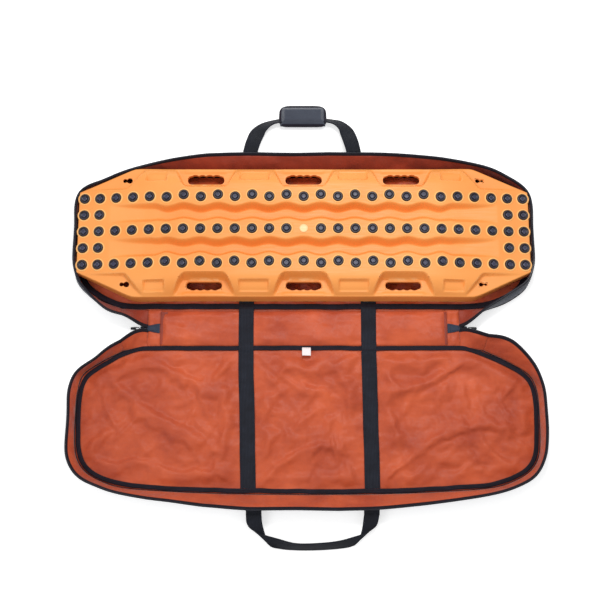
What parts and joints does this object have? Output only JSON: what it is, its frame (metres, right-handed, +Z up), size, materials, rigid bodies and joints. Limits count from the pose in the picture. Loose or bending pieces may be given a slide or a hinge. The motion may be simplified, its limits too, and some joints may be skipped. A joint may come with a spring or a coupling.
{
  "type": "vehicle recovery board in carry bag",
  "caption": "Ribbed plastic vehicle recovery board with grip holes and traction studs, lying in its opened zip-up carry bag with folding lid and webbing handles.",
  "frame": {"origin": "on the ground, under the middle of the board as it lies in the tray half of the open bag", "axes": "+X along the board, +Y towards the back carry handle (the lid lies folded open towards -Y), +Z up"},
  "size_m": [1.194, 1.1419, 0.0901],
  "materials": {
    "board_plastic": "satin moulded orange plastic",
    "stud_plastic": "matt black moulded plastic",
    "outer_fabric": "coarse dark navy woven polyester",
    "lining_fabric": "thin shiny rust-orange woven nylon",
    "zip_tape_fabric": "dark navy zip tape",
    "binding_tape": "dark navy grosgrain seam binding",
    "webbing": "dark navy ribbed webbing",
    "handle_wrap_fabric": "slate coated fabric",
    "zip_metal": "dark plated zip slider",
    "pull_tab_plastic": "black moulded pull",
    "label_fabric": "white blank satin label"
  },
  "bodies": {
    "tray": {"tray_outer_panel": "outer_fabric", "tray_lining_panel": "lining_fabric", "tray_outer_wall": "outer_fabric", "tray_lining_wall": "lining_fabric", "tray_zip_tape": "zip_tape_fabric", "tray_seam_binding": "binding_tape", "tray_strap_left": "webbing", "tray_strap_right": "webbing", "back_handle_anchor_left": "webbing", "back_handle_anchor_right": "webbing"},
    "spine": {"spine_outer_panel": "outer_fabric", "spine_lining_panel": "lining_fabric", "spine_strap_left": "webbing", "spine_strap_right": "webbing", "spine_end_left": "lining_fabric", "spine_end_right": "lining_fabric", "zip_end_tab_left": "handle_wrap_fabric", "zip_end_tab_right": "handle_wrap_fabric"},
    "lid": {"lid_outer_panel": "outer_fabric", "lid_lining_panel": "lining_fabric", "lid_outer_wall": "outer_fabric", "lid_lining_wall": "lining_fabric", "lid_zip_tape": "zip_tape_fabric", "lid_seam_binding": "binding_tape", "lid_strap_left": "webbing", "lid_strap_right": "webbing", "care_label": "label_fabric", "front_handle_anchor_left": "webbing", "front_handle_anchor_right": "webbing"},
    "board": {"board_shell": "board_plastic", "stud_row_back": "stud_plastic", "stud_row_front": "stud_plastic", "stud_row_middle_left": "stud_plastic", "stud_row_middle_right": "stud_plastic", "centre_badge": "board_plastic"},
    "back_handle": {"back_handle_webbing": "webbing", "back_handle_pad": "handle_wrap_fabric"},
    "front_handle": {"front_handle_webbing": "webbing"},
    "slider_left": {"zip_slider_left": "zip_metal"},
    "slider_right": {"zip_slider_right": "zip_metal"},
    "pull_left": {"zip_pull_tab_left": "pull_tab_plastic"},
    "pull_right": {"zip_pull_tab_right": "pull_tab_plastic"}
  },
  "joints": [
    {"name": "spine_fold", "type": "hinge", "parent": "tray", "child": "spine", "pos_m": [0, -0.192, 0.004], "axis": [-1, 0, 0], "range_deg": [0, 90]},
    {"name": "lid_fold", "type": "hinge", "parent": "spine", "child": "lid", "pos_m": [0, -0.288, 0.004], "axis": [-1, 0, 0], "range_deg": [0, 90]},
    {"name": "board_lift", "type": "slide", "parent": "tray", "child": "board", "axis": [0, 0, -1], "range_m": [-0.25, 0]},
    {"name": "back_handle_swing", "type": "hinge", "parent": "tray", "child": "back_handle", "pos_m": [0, 0.2185, 0.046], "axis": [-1, 0, 0], "range_deg": [-100, 0]},
    {"name": "front_handle_swing", "type": "hinge", "parent": "lid", "child": "front_handle", "pos_m": [0, -0.703, 0.03], "axis": [1, 0, 0], "range_deg": [-100, 0]},
    {"name": "slider_left_travel", "type": "slide", "parent": "spine", "child": "slider_left", "axis": [-1, 0, 0], "range_m": [0, 0.04]},
    {"name": "slider_right_travel", "type": "slide", "parent": "spine", "child": "slider_right", "axis": [1, 0, 0], "range_m": [0, 0.04]},
    {"name": "pull_left_flip", "type": "hinge", "parent": "slider_left", "child": "pull_left", "pos_m": [-0.415, -0.24, 0.0045], "axis": [0, -1, 0], "range_deg": [-100, 0]},
    {"name": "pull_right_flip", "type": "hinge", "parent": "slider_right", "child": "pull_right", "pos_m": [0.415, -0.24, 0.0045], "axis": [0, 1, 0], "range_deg": [-100, 0]}
  ]
}
